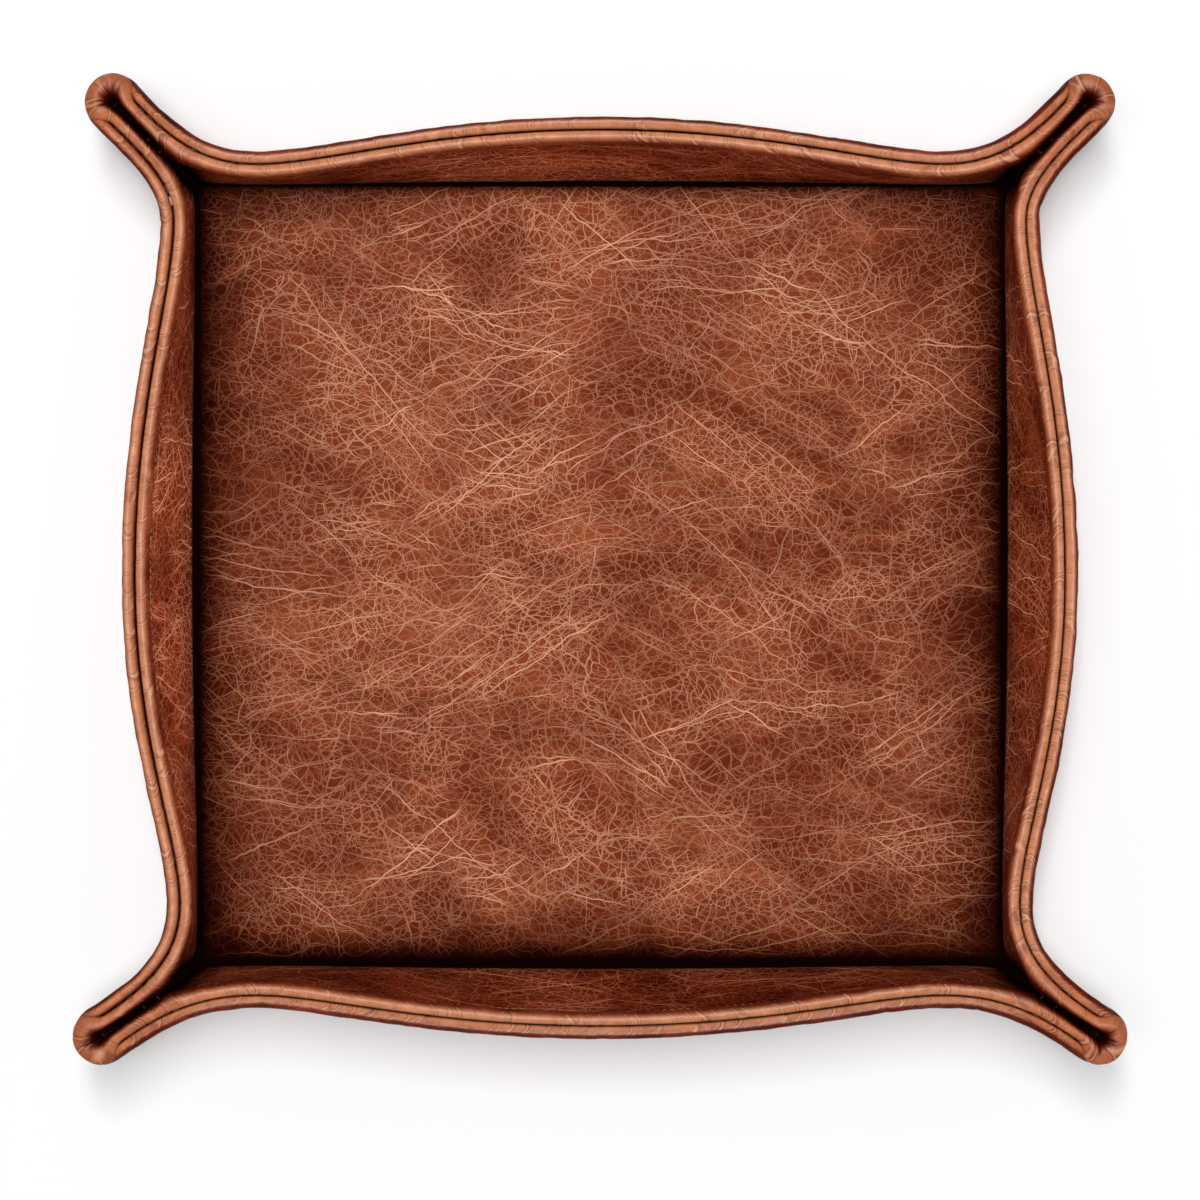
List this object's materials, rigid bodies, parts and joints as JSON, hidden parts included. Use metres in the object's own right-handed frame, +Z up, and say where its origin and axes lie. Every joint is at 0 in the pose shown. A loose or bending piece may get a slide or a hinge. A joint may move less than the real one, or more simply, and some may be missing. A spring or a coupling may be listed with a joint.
{
  "type": "coin tray",
  "caption": "Low leather tray with a flat floor, outward-bowed walls and pinched corner ears, for coins, keys and other pocket items.",
  "frame": {"origin": "centre of the flat underside, midway between the four walls", "axes": "+Z up, out of the open top; +X to the right and +Y to the back, as seen from above with the longer-reaching ears at the front"},
  "size_m": [0.2118, 0.1981, 0.0299],
  "materials": {
    "lining_leather": "semi-gloss crackled pull-up",
    "shell_leather": "semi-gloss crackled pull-up",
    "fibreboard": "matte",
    "seam_thread": "waxed",
    "topstitch_thread": "waxed",
    "tack_thread": "waxed"
  },
  "bodies": {
    "root": {"lining": "lining_leather", "outer_shell": "shell_leather", "base_board": "fibreboard", "wall_stay_back": "fibreboard", "wall_stay_front": "fibreboard", "wall_stay_left": "fibreboard", "wall_stay_right": "fibreboard", "rim_seam_thread": "seam_thread", "topstitch_inside": "topstitch_thread", "topstitch_outside": "topstitch_thread", "corner_tack_back_left": "tack_thread", "corner_tack_back_right": "tack_thread", "corner_tack_front_left": "tack_thread", "corner_tack_front_right": "tack_thread"}
  },
  "joints": []
}
